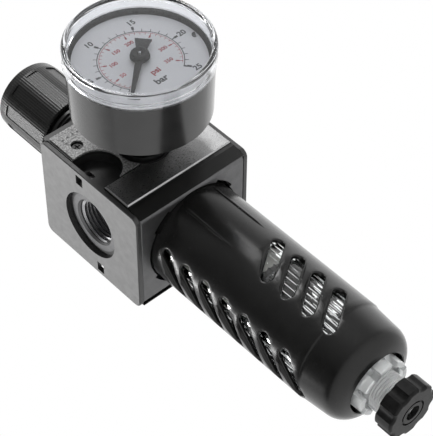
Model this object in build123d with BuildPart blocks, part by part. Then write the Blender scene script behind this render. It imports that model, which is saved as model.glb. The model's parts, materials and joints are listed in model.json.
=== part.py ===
"""Air filter-regulator with a dial gauge, a guarded clear bowl and a hand-turned drain.

Units are millimetres. +Z is up, towards the adjusting knob. The gauge looks along -Y.
Air goes in at -X and out at +X. The origin is where the line of the two ports crosses
the axis of the knob and the bowl.
"""

import os
from math import cos, radians, sin

from build123d import *

os.makedirs("parts", exist_ok=True)

# ---- driving dimensions -------------------------------------------------------------
# port block
PORT_SPAN = 48.9  # outer face to outer face of the two end plates
PLATE_T = 1.7  # end plate thickness
PLATE_D = 43.4  # end plate size front to back
BLOCK_H = 50.4  # port block height
BLOCK_D = 41.8  # port block depth without its covers
CORNER_R = 2.8
PORT_WINDOW_R = 12.87  # round window in each end plate
PORT_R = 8.33  # G3/8 thread, major radius
PORT_DEPTH = 12.0
BOSS_STEP = 1.9  # from the end plate's face down to the port's sealing face
KEY_H, KEY_D = 3.4, 4.0  # square pockets for a coupling key
KEY_Z, KEY_Y = 4.4, 18.0
GAUGE_PORT_R = 6.58  # G1/4 thread, major radius
# pockets beside the ports, open towards the end plates, where a row clamp takes hold
POCKET_X, POCKET_Z, POCKET_R, POCKET_DEPTH = 18.6, 1.5, 8.4, 3.2
POCKET_OPEN = 10.0  # length of the straight part, past the end plate
# covers
COVER_T = 1.2
COVER_W = 45.2
COVER_HOLE_R = 9.4  # round the gauge's socket
SCREW_X, SCREW_Z = 17.0, 14.3
TRIM_T = 0.7
TRIM_TOP, TRIM_LOW = 22.8, -6.3
STRIP_TOP, STRIP_LOW = -6.9, -18.7
# regulator section
BONNET_R = 18.2
DIAPHRAGM_Z = 14.5
NECK_R = 13.0
NECK_TOP = 38.5
DOME_R = 10.9
DOME_TOP = 57.6
CHAMBER_R = 9.3
KNOB_R = 13.68
KNOB_LOW, KNOB_TOP = 39.5, 66.8
KNOB_CROWN_R = 13.3  # where the crown's rounding starts
KNOB_CROWN_Z = 65.0
KNOB_LIFT = 3.0
GRIPS = 10
GRIP_PHASE = 194.0  # angle of the first finger panel, degrees from +X
GRIP_W, GRIP_H, GRIP_Z, GRIP_DEPTH = 5.0, 20.0, 51.0, 0.45
SPINDLE_R = 4.0
SPINDLE_LOW = 31.6
NUT_LOW, NUT_T = 44.1, 6.0
NUT_R = 8.6
SPRING_LOW = 17.0
# valve
STEM_R = 1.5
SEAT_R = 6.5
# bowl
BOWL_CAVITY_R = 16.95
BOWL_ROOF = -10.5
BOWL_R = 16.6
BOWL_WALL = 1.9
BOWL_SHOULDER = -93.0
GUARD_R = 18.75
GUARD_WALL = 1.3
GUARD_TOP = -20.8
GUARD_STEP = -94.3  # a small bevel, and below it the wall draws in to the shoulder
GUARD_SHOULDER = -105.0
GUARD_SHOULDER_R = 17.6
GUARD_END = -111.5
GUARD_MOUTH_R = 11.6
LUG_R = 20.0
SLOT_PITCH = 9.3
SLOT_FIRST = -35.4
WINDOW_TILT = 31.8
# drain
CASTLE_R = 10.25
CASTLE_END = -114.5
DRAIN_NECK_R = 6.58
DRAIN_NECK_END = -123.2
DRAIN_R = 9.95
DRAIN_TOP, DRAIN_END = -119.9, -126.7
# gauge
CASE_BACK, CASE_FRONT = 39.8, 61.7
CASE_BACK_R, CASE_FRONT_R = 23.7, 24.4
LENS_R = 25.0
LENS_FRONT = 67.6
DIAL_FACE = 59.6
POINTER_FACE = 61.4

# worked out from the above
BLOCK_W = PORT_SPAN - 2 * PLATE_T
HALF_W, HALF_D, HALF_H = BLOCK_W / 2, BLOCK_D / 2, BLOCK_H / 2
SEAL_X = PORT_SPAN / 2 - BOSS_STEP  # sealing face of a port
COVER_OUT = HALF_D + COVER_T
TRIM_OUT = COVER_OUT + TRIM_T


def save(piece, node):
    """Label a finished piece and write it as its own STEP file."""
    piece.label = node
    export_step(piece, f"parts/{node}.step")


def clamp_pockets(mode):
    """Draw the two clamp pockets of a front or rear face: round, and open to the port sides."""
    for hand in (-1, 1):
        with Locations((hand * POCKET_X, POCKET_Z)):
            Circle(POCKET_R, mode=mode)
        with Locations((hand * (POCKET_X + POCKET_OPEN / 2), POCKET_Z)):
            Rectangle(POCKET_OPEN, 2 * POCKET_R, mode=mode)


# ---- port block -----------------------------------------------------------------------
LIP_R = 19.25  # bayonet lip under the block
LIP_TOP = -22.95
RECESS_R = 20.3
RECESS_TOP = -20.2
NOTCH_HALF = 13.0  # half the angle of each bayonet notch, degrees

with BuildPart() as body:
    with BuildSketch(Plane.YZ.offset(-HALF_W)):
        RectangleRounded(BLOCK_D, BLOCK_H, CORNER_R - 0.4)
    extrude(amount=BLOCK_W)
    chamfer(body.faces().sort_by(Axis.X)[0].edges(), 0.45)
    chamfer(body.faces().sort_by(Axis.X)[-1].edges(), 0.45)
    # stepped bore for the bonnet, the diaphragm and the chamber under it
    with BuildSketch(Plane.XY.offset(HALF_H)):
        Circle(BONNET_R + 0.05)
    extrude(amount=-(HALF_H - DIAPHRAGM_Z), mode=Mode.SUBTRACT)
    with BuildSketch(Plane.XY.offset(DIAPHRAGM_Z)):
        Circle(15.6)
    extrude(amount=-4.0, mode=Mode.SUBTRACT)
    # web with the stem's guide bore and the sensing hole
    with BuildSketch(Plane.XY.offset(10.5)):
        Circle(STEM_R + 0.06)
        with Locations((3.8, 0)):
            Circle(0.8)
    extrude(amount=-3.0, mode=Mode.SUBTRACT)
    # valve chamber above the seat, seat pocket and bore down to the bowl
    with BuildSketch(Plane.XY.offset(8.0)):
        Circle(5.5)
    extrude(amount=-8.0, mode=Mode.SUBTRACT)
    with BuildSketch(Plane.XY.offset(2.4)):
        Circle(SEAT_R)
    extrude(amount=-(2.4 - BOWL_ROOF + 0.1), mode=Mode.SUBTRACT)
    # bowl cavity, bayonet recess, lip opening and its four notches
    with BuildSketch(Plane.XY.offset(-HALF_H)):
        Circle(BOWL_CAVITY_R)
    extrude(amount=HALF_H + BOWL_ROOF, mode=Mode.SUBTRACT)
    with BuildSketch(Plane.XY.offset(LIP_TOP)):
        Circle(RECESS_R)
    extrude(amount=RECESS_TOP - LIP_TOP, mode=Mode.SUBTRACT)
    with BuildSketch(Plane.XY.offset(-HALF_H)):
        Circle(LIP_R)
        for quarter in range(4):
            middle = 45 + 90 * quarter
            with BuildLine():
                first = PolarLine((0, 0), RECESS_R, middle - NOTCH_HALF)
                last = PolarLine((0, 0), RECESS_R, middle + NOTCH_HALF)
                RadiusArc(first @ 1, last @ 1, -RECESS_R)
            make_face()
    extrude(amount=LIP_TOP + HALF_H, mode=Mode.SUBTRACT)
    # the two line ports, each with a sealing face, a thread bore and a chamfered mouth
    for side in (-1, 1):
        with BuildSketch(Plane.YZ.offset(side * SEAL_X)):
            Circle(PORT_WINDOW_R)
        extrude(amount=side * (HALF_W - SEAL_X), mode=Mode.SUBTRACT)
        with BuildSketch(Plane.YZ.offset(side * SEAL_X)):
            Circle(PORT_R)
        extrude(amount=-side * PORT_DEPTH, mode=Mode.SUBTRACT)
        with BuildSketch(Plane.XZ):
            with BuildLine():
                Polyline(
                    (side * (SEAL_X + 0.01), 0),
                    (side * (SEAL_X + 0.01), PORT_R + 0.71),
                    (side * (SEAL_X - 0.7), PORT_R),
                    (side * (SEAL_X - 0.7), 0),
                    close=True,
                )
            make_face()
        revolve(axis=Axis.X, mode=Mode.SUBTRACT)
        # key pockets behind the end plate's square holes
        with BuildSketch(Plane.YZ.offset(side * HALF_W)):
            with Locations((-KEY_Y, KEY_Z), (KEY_Y, -KEY_Z)):
                Rectangle(KEY_D, KEY_H)
        extrude(amount=-side * 4.0, mode=Mode.SUBTRACT)
    # inlet air drops into the bowl; outlet air leaves the chamber over the seat
    with BuildSketch(Plane.XY.offset(BOWL_ROOF)):
        with Locations((-13.2, 0)):
            Circle(2.6)
    extrude(amount=-BOWL_ROOF - 1.0, mode=Mode.SUBTRACT)
    with BuildSketch(Plane.YZ.offset(4.0)):
        with Locations((0, 5.2)):
            Circle(2.4)
    extrude(amount=8.0, mode=Mode.SUBTRACT)
    # gauge port in front and its twin behind, with their sensing holes
    for side in (-1, 1):
        with BuildSketch(Plane.XZ.offset(-side * HALF_D)):
            Circle(GAUGE_PORT_R)
        extrude(amount=side * 11.0, mode=Mode.SUBTRACT)
        with BuildSketch(Plane.XZ.offset(-side * 11.0)):
            with Locations((0, 5.0)):
                Circle(1.0)
        extrude(amount=side * 7.0, mode=Mode.SUBTRACT)
        # clamp pockets beside the ports and screw holes for the covers
        with BuildSketch(Plane.XZ.offset(-side * HALF_D)):
            clamp_pockets(Mode.ADD)
        extrude(amount=side * POCKET_DEPTH, mode=Mode.SUBTRACT)
        with BuildSketch(Plane.XZ.offset(-side * HALF_D)):
            with Locations((-SCREW_X, SCREW_Z), (SCREW_X, SCREW_Z)):
                Circle(1.25)
        extrude(amount=side * 6.0, mode=Mode.SUBTRACT)
save(body.part, "body")

# ---- end plates -----------------------------------------------------------------------
for side, node in ((-1, "inlet_plate"), (1, "outlet_plate")):
    with BuildPart() as end_plate:
        with BuildSketch(Plane.YZ.offset(side * HALF_W)):
            RectangleRounded(PLATE_D, BLOCK_H, CORNER_R)
            Circle(PORT_WINDOW_R, mode=Mode.SUBTRACT)
            with Locations((-KEY_Y, KEY_Z), (KEY_Y, -KEY_Z)):
                Rectangle(KEY_D, KEY_H, mode=Mode.SUBTRACT)
        extrude(amount=side * PLATE_T)
        rim = end_plate.faces().sort_by(Axis.X)[0 if side < 0 else -1].outer_wire()
        fillet(rim.edges(), 0.5)
    save(end_plate.part, node)

# ---- covers, their inlaid trim and their screws -----------------------------------------
for side, word in ((-1, "front"), (1, "rear")):
    with BuildPart() as cover:
        with BuildSketch(Plane.XZ.offset(-side * HALF_D)):
            Rectangle(COVER_W, BLOCK_H)
            Circle(COVER_HOLE_R, mode=Mode.SUBTRACT)
            clamp_pockets(Mode.SUBTRACT)
            with Locations((-SCREW_X, SCREW_Z), (SCREW_X, SCREW_Z)):
                Circle(2.2, mode=Mode.SUBTRACT)
        extrude(amount=-side * COVER_T)
        # the lower edge slopes back towards the bowl
        with BuildSketch(Plane.YZ.offset(-COVER_W / 2)):
            with BuildLine():
                Polyline(
                    (side * (COVER_OUT + 0.1), -HALF_H + 5.0),
                    (side * COVER_OUT, -HALF_H + 5.0),
                    (side * (HALF_D + 0.3), -HALF_H),
                    (side * (COVER_OUT + 0.1), -HALF_H),
                    close=True,
                )
            make_face()
        extrude(amount=COVER_W, mode=Mode.SUBTRACT)
    save(cover.part, f"{word}_cover")

    with BuildPart() as badge:
        with BuildSketch(Plane.XZ.offset(-side * COVER_OUT)):
            with Locations((0, (TRIM_TOP + TRIM_LOW) / 2)):
                Rectangle(COVER_W - 1.0, TRIM_TOP - TRIM_LOW)
            Circle(COVER_HOLE_R, mode=Mode.SUBTRACT)
            clamp_pockets(Mode.SUBTRACT)
            with Locations((-SCREW_X, SCREW_Z), (SCREW_X, SCREW_Z)):
                Circle(2.2, mode=Mode.SUBTRACT)
        extrude(amount=-side * TRIM_T)
    save(badge.part, f"{word}_trim_plate")

    with BuildPart() as strip:
        with BuildSketch(Plane.XZ.offset(-side * COVER_OUT)):
            with Locations((0, (STRIP_TOP + STRIP_LOW) / 2)):
                Rectangle(COVER_W - 0.2, STRIP_TOP - STRIP_LOW)
            Circle(COVER_HOLE_R, mode=Mode.SUBTRACT)
            clamp_pockets(Mode.SUBTRACT)
        extrude(amount=-side * TRIM_T)
        face = strip.faces().sort_by(Axis.Y)[0 if side < 0 else -1]
        chamfer(face.outer_wire().edges(), 0.4)
    save(strip.part, f"{word}_strip")

with BuildPart() as cover_screws:
    for side in (-1, 1):
        with BuildSketch(Plane.XZ.offset(-side * (HALF_D + 0.02))):
            with Locations((-SCREW_X, SCREW_Z), (SCREW_X, SCREW_Z)):
                Circle(2.1)
        extrude(amount=-side * 0.9)
        with BuildSketch(Plane.XZ.offset(-side * (HALF_D + 0.02))):
            with Locations((-SCREW_X, SCREW_Z), (SCREW_X, SCREW_Z)):
                Circle(1.2)
        extrude(amount=side * 5.5)
        with BuildSketch(Plane.XZ.offset(-side * (HALF_D + 0.92))):
            with Locations((-SCREW_X, SCREW_Z), (SCREW_X, SCREW_Z)):
                Rectangle(2.4, 0.5)
                Rectangle(0.5, 2.4)
        extrude(amount=side * 0.6, mode=Mode.SUBTRACT)
save(cover_screws.part, "cover_screws")

# ---- rear blanking plug ------------------------------------------------------------------
SEAL_R = 9.1  # sealing washers, and the plug's head, inside the covers' holes
SEAL_T = 1.6

with BuildPart() as rear_plug:
    with BuildSketch(Plane.XZ.offset(-(HALF_D - 9.0))):
        Circle(GAUGE_PORT_R - 0.04)
    extrude(amount=-10.6)
    with BuildSketch(Plane.XZ.offset(-(HALF_D + SEAL_T))):
        Circle(SEAL_R)
    extrude(amount=-3.4)
    fillet(rear_plug.faces().sort_by(Axis.Y)[-1].edges(), 0.6)
    with BuildSketch(Plane.XZ.offset(-(HALF_D + 5.0))):
        RegularPolygon(4.0, 6, major_radius=False)
    extrude(amount=6.0, mode=Mode.SUBTRACT)
save(rear_plug.part, "rear_plug")

with BuildPart() as rear_plug_seal:
    with BuildSketch(Plane.XZ.offset(-HALF_D)):
        Circle(SEAL_R)
        Circle(GAUGE_PORT_R + 0.1, mode=Mode.SUBTRACT)
    extrude(amount=-SEAL_T)
save(rear_plug_seal.part, "rear_plug_seal")

# ---- bonnet, ring nut, spindle, range spring ----------------------------------------------
BONNET_LOW = DIAPHRAGM_Z + 1.0
BONNET_SHOULDER = 24.6
ROOF_LOW = DOME_TOP - 2.7
SPINDLE_NECK_R = 3.0

with BuildPart() as bonnet:
    with BuildSketch(Plane.XZ):
        with BuildLine():
            Polyline(
                (15.7, BONNET_LOW),
                (BONNET_R, BONNET_LOW),
                (BONNET_R, BONNET_SHOULDER),
                (NECK_R, BONNET_SHOULDER),
                (NECK_R, NECK_TOP),
                (DOME_R, NECK_TOP),
                (DOME_R, DOME_TOP),
                (SPINDLE_NECK_R + 0.06, DOME_TOP),
                (SPINDLE_NECK_R + 0.06, ROOF_LOW),
                (CHAMBER_R, ROOF_LOW),
                (CHAMBER_R, 20.5),
                (15.7, 19.5),
                close=True,
            )
        make_face()
    revolve(axis=Axis.Z)
    # two keyways keep the spring nut from turning, and a small vent lets the dome breathe
    with BuildSketch(Plane.XY.offset(SPINDLE_LOW + 2.0)):
        Rectangle(2.6, 20.4)
    extrude(amount=20.0, mode=Mode.SUBTRACT)
    with BuildSketch(Plane.YZ):
        with Locations((0, 30.5)):
            Circle(0.7)
    extrude(amount=NECK_R + 1, mode=Mode.SUBTRACT)
save(bonnet.part, "bonnet")

with BuildPart() as ring_nut:
    with BuildSketch(Plane.XY.offset(HALF_H + 0.1)):
        Circle(15.2)
        Circle(NECK_R + 0.04, mode=Mode.SUBTRACT)
    extrude(amount=3.4)
    fillet(ring_nut.faces().sort_by(Axis.Z)[-1].outer_wire().edges(), 0.5)
    with PolarLocations(15.2, 8):
        Box(1.6, 3.0, 70.0, mode=Mode.SUBTRACT)
save(ring_nut.part, "ring_nut")

CAP_LOW = KNOB_TOP - 1.1
SCREW_HEAD_LOW = CAP_LOW - 1.5
HEX_LOW = DOME_TOP + 0.3
COLLAR_TOP = ROOF_LOW - 1.1
COLLAR_LOW = COLLAR_TOP - 2.2
with BuildPart() as spindle:
    with BuildSketch(Plane.XZ):
        with BuildLine():
            Polyline(
                (0, SPINDLE_LOW),
                (SPINDLE_R - 0.6, SPINDLE_LOW),
                (SPINDLE_R, SPINDLE_LOW + 0.6),
                (SPINDLE_R, COLLAR_LOW),
                (6.0, COLLAR_LOW),
                (6.0, COLLAR_TOP),
                (SPINDLE_NECK_R, COLLAR_TOP),
                (SPINDLE_NECK_R, HEX_LOW),
                (0, HEX_LOW),
                close=True,
            )
        make_face()
    revolve(axis=Axis.Z)
    with BuildSketch(Plane.XY.offset(HEX_LOW)):
        RegularPolygon(4.0, 6, major_radius=False)
    extrude(amount=SCREW_HEAD_LOW - HEX_LOW)
    with BuildSketch(Plane.XY.offset(SCREW_HEAD_LOW)):
        Circle(1.66)
    extrude(amount=-8.0, mode=Mode.SUBTRACT)
save(spindle.part, "spindle")

with BuildPart() as thrust_washer:
    with BuildSketch(Plane.XY.offset(COLLAR_TOP + 0.1)):
        Circle(6.6)
        Circle(3.3, mode=Mode.SUBTRACT)
    extrude(amount=ROOF_LOW - COLLAR_TOP - 0.1)
save(thrust_washer.part, "thrust_washer")

with BuildPart() as spring_nut:
    with BuildSketch(Plane.XY.offset(NUT_LOW)):
        Circle(NUT_R)
        Rectangle(2.0, 19.6)
        Circle(SPINDLE_R + 0.06, mode=Mode.SUBTRACT)
    extrude(amount=NUT_T)
save(spring_nut.part, "spring_nut")

WIRE_R = 0.9
SPRING_MEAN_R = 7.0
SPRING_TURNS = 7
spring_run = NUT_LOW - SPRING_LOW - 2 * WIRE_R - 0.1
with BuildPart() as range_spring:
    with BuildLine(Plane.XY.offset(SPRING_LOW + WIRE_R + 0.05)):
        coil = Helix(spring_run / SPRING_TURNS, spring_run, SPRING_MEAN_R)
    with BuildSketch(Plane(origin=coil @ 0, z_dir=coil % 0)):
        Circle(WIRE_R)
    sweep(path=coil)
save(range_spring.part, "range_spring")

# ---- knob ---------------------------------------------------------------------------------
WEB_LOW, WEB_TOP = DOME_TOP + 0.9, SCREW_HEAD_LOW - KNOB_LIFT
CAP_R = 6.3
with BuildPart() as knob:
    with BuildSketch(Plane.XZ):
        with BuildLine():
            Polyline((CAP_R, WEB_TOP), (CAP_R, KNOB_TOP), (10.2, KNOB_TOP))
            SagittaArc((10.2, KNOB_TOP), (KNOB_CROWN_R, KNOB_CROWN_Z), -0.5)
            Polyline(
                (KNOB_CROWN_R, KNOB_CROWN_Z),
                (KNOB_R, GRIP_Z + GRIP_H / 2 + 1.0),
                (KNOB_R, KNOB_LOW + 0.5),
                (KNOB_R - 0.5, KNOB_LOW),
                (DOME_R + 0.5, KNOB_LOW),
                (DOME_R + 0.5, WEB_LOW),
                (0, WEB_LOW),
                (0, WEB_TOP),
                (CAP_R, WEB_TOP),
            )
        make_face()
    revolve(axis=Axis.Z)
    with BuildSketch(Plane.XY.offset(WEB_LOW)):
        RegularPolygon(4.1, 6, major_radius=False)
    extrude(amount=WEB_TOP - WEB_LOW, mode=Mode.SUBTRACT)
    # shallow finger panels round the skirt
    for index in range(GRIPS):
        turn = GRIP_PHASE + 360 / GRIPS * index
        with BuildSketch(Plane.YZ.rotated((0, 0, turn)).offset(KNOB_R - GRIP_DEPTH)):
            with Locations((0, GRIP_Z)):
                RectangleRounded(GRIP_W, GRIP_H, 0.8)
        extrude(amount=3.0, mode=Mode.SUBTRACT)
save(knob.part, "knob")

with BuildPart() as knob_screw:
    with BuildSketch(Plane.XY.offset(SCREW_HEAD_LOW)):
        Circle(5.4)
    extrude(amount=1.3)
    with BuildSketch(Plane.XY.offset(SCREW_HEAD_LOW)):
        Circle(1.6)
    extrude(amount=-7.0)
    with BuildSketch(Plane.XY.offset(SCREW_HEAD_LOW + 1.3)):
        Rectangle(5.0, 0.7)
        Rectangle(0.7, 5.0)
    extrude(amount=-0.8, mode=Mode.SUBTRACT)
save(knob_screw.part, "knob_screw")

with BuildPart() as knob_cap:
    with BuildSketch(Plane.XY.offset(CAP_LOW)):
        Circle(CAP_R - 0.04)
    extrude(amount=KNOB_TOP - CAP_LOW - 0.2)
    fillet(knob_cap.faces().sort_by(Axis.Z)[-1].edges(), 0.3)
save(knob_cap.part, "knob_cap")

# ---- diaphragm stack ------------------------------------------------------------------------
with BuildPart() as diaphragm:
    with BuildSketch(Plane.XZ):
        with BuildLine():
            Polyline(
                (2.6, DIAPHRAGM_Z),
                (11.0, DIAPHRAGM_Z),
                (12.0, DIAPHRAGM_Z + 2.0),
                (14.0, DIAPHRAGM_Z + 2.0),
                (15.0, DIAPHRAGM_Z),
                (18.0, DIAPHRAGM_Z),
                (18.0, DIAPHRAGM_Z + 1.0),
                (15.6, DIAPHRAGM_Z + 1.0),
                (14.6, DIAPHRAGM_Z + 3.0),
                (11.4, DIAPHRAGM_Z + 3.0),
                (10.5, DIAPHRAGM_Z + 1.0),
                (2.6, DIAPHRAGM_Z + 1.0),
                close=True,
            )
        make_face()
    revolve(axis=Axis.Z)
save(diaphragm.part, "diaphragm")

with BuildPart() as diaphragm_plate:
    with BuildSketch(Plane.XY.offset(DIAPHRAGM_Z + 1.0)):
        Circle(10.3)
        Circle(2.6, mode=Mode.SUBTRACT)
    extrude(amount=SPRING_LOW - DIAPHRAGM_Z - 1.0)
    with BuildSketch(Plane.XY.offset(SPRING_LOW)):
        Circle(5.6)
        Circle(2.6, mode=Mode.SUBTRACT)
    extrude(amount=1.6)
save(diaphragm_plate.part, "diaphragm_plate")

HUB_LOW = 12.2
with BuildPart() as diaphragm_hub:
    with BuildSketch(Plane.XZ):
        with BuildLine():
            Polyline(
                (0.8, HUB_LOW),
                (3.5, HUB_LOW),
                (3.5, 13.1),
                (9.0, 13.1),
                (9.0, DIAPHRAGM_Z),
                (2.55, DIAPHRAGM_Z),
                (2.55, 20.0),
                (0.8, 20.0),
                close=True,
            )
        make_face()
    revolve(axis=Axis.Z)
save(diaphragm_hub.part, "diaphragm_hub")

# ---- valve -------------------------------------------------------------------------------------
with BuildPart() as valve_seat:
    with BuildSketch(Plane.XZ):
        with BuildLine():
            Polyline(
                (3.2, 0.6),
                (3.6, 0),
                (4.0, 0.6),
                (SEAT_R - 0.02, 0.6),
                (SEAT_R - 0.02, 2.35),
                (3.2, 2.35),
                close=True,
            )
        make_face()
    revolve(axis=Axis.Z)
save(valve_seat.part, "valve_seat")

with BuildPart() as valve_poppet:
    with BuildSketch(Plane.XZ):
        with BuildLine():
            Polyline(
                (0, HUB_LOW - 0.1),
                (STEM_R, HUB_LOW - 0.1),
                (STEM_R, -1.3),
                (4.9, -1.3),
                (4.9, -2.6),
                (2.0, -2.6),
                (2.0, -12.4),
                (0, -12.4),
                close=True,
            )
        make_face()
    revolve(axis=Axis.Z)
save(valve_poppet.part, "valve_poppet")

with BuildPart() as poppet_seal:
    with BuildSketch(Plane.XY.offset(-1.3)):
        Circle(4.9)
        Circle(STEM_R, mode=Mode.SUBTRACT)
    extrude(amount=1.2)
save(poppet_seal.part, "poppet_seal")

GUIDE_TOP, GUIDE_LOW = BOWL_ROOF, -13.6
with BuildPart() as valve_guide:
    with BuildSketch(Plane.XY.offset(GUIDE_TOP)):
        Circle(9.6)
        Circle(2.06, mode=Mode.SUBTRACT)
        with PolarLocations(4.0, 4, start_angle=45):
            Circle(0.9, mode=Mode.SUBTRACT)
    extrude(amount=-(GUIDE_TOP - GUIDE_LOW))
    with BuildSketch(Plane.XY.offset(GUIDE_TOP)):
        Circle(SEAT_R - 0.05)
        Circle(5.4, mode=Mode.SUBTRACT)
    extrude(amount=3.0)
save(valve_guide.part, "valve_guide")

VALVE_WIRE_R = 0.35
valve_run = -2.6 - GUIDE_TOP - 2 * VALVE_WIRE_R - 0.1
with BuildPart() as valve_spring:
    with BuildLine(Plane.XY.offset(GUIDE_TOP + VALVE_WIRE_R + 0.05)):
        valve_coil = Helix(valve_run / 5, valve_run, 3.4)
    with BuildSketch(Plane(origin=valve_coil @ 0, z_dir=valve_coil % 0)):
        Circle(VALVE_WIRE_R)
    sweep(path=valve_coil)
save(valve_spring.part, "valve_spring")

# ---- filter ----------------------------------------------------------------------------------------
FILTER_TOP, FILTER_LOW = -22.4, -62.0
CAP_SKIRT_R = 13.2
with BuildPart() as filter_stem:
    with BuildSketch(Plane.XY.offset(GUIDE_LOW)):
        Circle(5.6)
        Circle(4.4, mode=Mode.SUBTRACT)
    extrude(amount=FILTER_LOW - 3.0 - GUIDE_LOW)
    for level in range(4):
        with Locations((0, 0, FILTER_TOP - 6.0 - 9.0 * level)):
            Box(3.0, 20.0, 4.0, mode=Mode.SUBTRACT)
            Box(20.0, 3.0, 4.0, mode=Mode.SUBTRACT)
save(filter_stem.part, "filter_stem")

VANES = 12
with BuildPart() as deflector:
    with BuildSketch(Plane.XY.offset(FILTER_TOP)):
        Circle(14.0)
        Circle(5.65, mode=Mode.SUBTRACT)
    extrude(amount=6.0)
    for index in range(VANES):
        turn = 360 / VANES * index
        with BuildSketch(Plane.YZ.rotated((0, 0, turn)).offset(11.4)):
            with Locations((0, FILTER_TOP + 3.0)):
                Rectangle(1.6, 8.0, rotation=38)
        extrude(amount=4.0, mode=Mode.SUBTRACT)
save(deflector.part, "deflector")

with BuildPart() as filter_element:
    with BuildSketch(Plane.XY.offset(FILTER_LOW)):
        Circle(11.2)
        Circle(7.6, mode=Mode.SUBTRACT)
    extrude(amount=FILTER_TOP - FILTER_LOW)
save(filter_element.part, "filter_element")

with BuildPart() as filter_cap:
    with BuildSketch(Plane.XZ):
        with BuildLine():
            Polyline(
                (5.65, FILTER_LOW),
                (11.6, FILTER_LOW),
                (CAP_SKIRT_R, FILTER_LOW - 3.0),
                (CAP_SKIRT_R, FILTER_LOW - 8.0),
                (CAP_SKIRT_R - 1.2, FILTER_LOW - 8.0),
                (CAP_SKIRT_R - 1.2, FILTER_LOW - 3.6),
                (6.6, FILTER_LOW - 5.4),
                (0, FILTER_LOW - 5.4),
                (0, FILTER_LOW - 3.1),
                (5.65, FILTER_LOW - 3.1),
                close=True,
            )
        make_face()
    revolve(axis=Axis.Z)
save(filter_cap.part, "filter_cap")

# ---- bowl --------------------------------------------------------------------------------------------
BOWL_TOP = BOWL_ROOF - 0.5
GROOVE_TOP, GROOVE_LOW = -14.0, -16.4
bowl_in = BOWL_R - BOWL_WALL
with BuildPart() as bowl:
    with BuildSketch(Plane.XZ):
        with BuildLine():
            Polyline(
                (bowl_in, BOWL_SHOULDER),
                (bowl_in, BOWL_TOP),
                (BOWL_R, BOWL_TOP),
                (BOWL_R, GROOVE_TOP),
                (BOWL_R - 1.1, GROOVE_TOP),
                (BOWL_R - 1.1, GROOVE_LOW),
                (BOWL_R, GROOVE_LOW),
                (BOWL_R, BOWL_SHOULDER),
            )
            RadiusArc((BOWL_R, BOWL_SHOULDER), (CASTLE_R - 1.6, -108.0), 17.0)
            Polyline(
                (CASTLE_R - 1.6, -108.0),
                (CASTLE_R, -109.0),
                (CASTLE_R, CASTLE_END),
                (8.4, CASTLE_END),
                (8.4, -111.0),
                (DRAIN_NECK_R, -111.0),
                (DRAIN_NECK_R, DRAIN_NECK_END),
                (4.2, DRAIN_NECK_END),
                (4.2, -110.5),
                (2.85, -110.5),
                (2.85, -106.0),
            )
            RadiusArc((2.85, -106.0), (bowl_in, BOWL_SHOULDER), -16.5)
        make_face()
    revolve(axis=Axis.Z)
    with PolarLocations(CASTLE_R - 1.0, 8):
        with Locations((0, 0, CASTLE_END)):
            Box(6.0, 2.6, 5.2, mode=Mode.SUBTRACT)
save(bowl.part, "bowl")

ORING_IN, ORING_OUT = BOWL_R - 1.05, BOWL_CAVITY_R - 0.1
with BuildPart() as bowl_oring:
    with BuildSketch(Plane.XZ):
        with Locations(((ORING_IN + ORING_OUT) / 2, (GROOVE_TOP + GROOVE_LOW) / 2)):
            Ellipse((ORING_OUT - ORING_IN) / 2, 1.0)
    revolve(axis=Axis.Z)
save(bowl_oring.part, "bowl_oring")

# ---- bowl guard ----------------------------------------------------------------------------------------
guard_in = GUARD_R - GUARD_WALL
GUARD_BEND_R = 6.9
RIB_TOP, RIB_LOW = -25.6, -51.0
WINDOW_L, WINDOW_W = 18.4, 4.4
with BuildPart() as bowl_guard:
    with BuildSketch(Plane.XZ):
        with BuildLine():
            Polyline(
                (GUARD_SHOULDER_R, GUARD_SHOULDER),
                (GUARD_R - 0.35, GUARD_STEP - 1.0),
                (GUARD_R, GUARD_STEP),
                (GUARD_R, GUARD_TOP),
                (guard_in, GUARD_TOP),
                (guard_in, GUARD_STEP),
                (GUARD_SHOULDER_R - GUARD_WALL, GUARD_SHOULDER),
            )
            RadiusArc(
                (GUARD_SHOULDER_R - GUARD_WALL, GUARD_SHOULDER),
                (GUARD_MOUTH_R, GUARD_END + GUARD_WALL),
                GUARD_BEND_R - GUARD_WALL,
            )
            Polyline(
                (GUARD_MOUTH_R, GUARD_END + GUARD_WALL),
                (GUARD_MOUTH_R, GUARD_END),
                (GUARD_MOUTH_R + 0.4, GUARD_END),
            )
            RadiusArc(
                (GUARD_MOUTH_R + 0.4, GUARD_END),
                (GUARD_SHOULDER_R, GUARD_SHOULDER),
                -GUARD_BEND_R,
            )
        make_face()
    revolve(axis=Axis.Z)
    # tapered ribs either side of the front and the rear thumb areas
    for face_turn in (0, 180):
        for lean in (-19.0, 24.5):
            with BuildSketch(Plane.XZ.rotated((0, 0, face_turn + lean)).offset(GUARD_R - 0.6)):
                with BuildLine():
                    Polyline(
                        (-0.9, RIB_TOP),
                        (0.9, RIB_TOP),
                        (0.35, RIB_LOW),
                        (-0.35, RIB_LOW),
                        close=True,
                    )
                make_face()
            extrude(amount=1.0)
    # slanted windows: seven on each port side, four in front and behind
    for face, first in ((0, 3), (1, 0), (2, 3), (3, 0)):
        turn = 90 * face
        with BuildSketch(Plane.XZ.rotated((0, 0, turn)).offset(13.0)):
            for index in range(first, 7):
                with Locations((0, SLOT_FIRST - SLOT_PITCH * index)):
                    SlotOverall(WINDOW_L, WINDOW_W, rotation=WINDOW_TILT)
        extrude(amount=9.0, mode=Mode.SUBTRACT)
    # four bayonet lugs, locked under the lip of the port block
    with BuildSketch(Plane.XY.offset(GUARD_TOP)):
        for quarter in range(4):
            with BuildLine():
                first = PolarLine((0, 0), LUG_R, 90 * quarter - 10)
                last = PolarLine((0, 0), LUG_R, 90 * quarter + 10)
                RadiusArc(first @ 1, last @ 1, -LUG_R)
            make_face()
        Circle(guard_in, mode=Mode.SUBTRACT)
    extrude(amount=-1.85)
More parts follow.
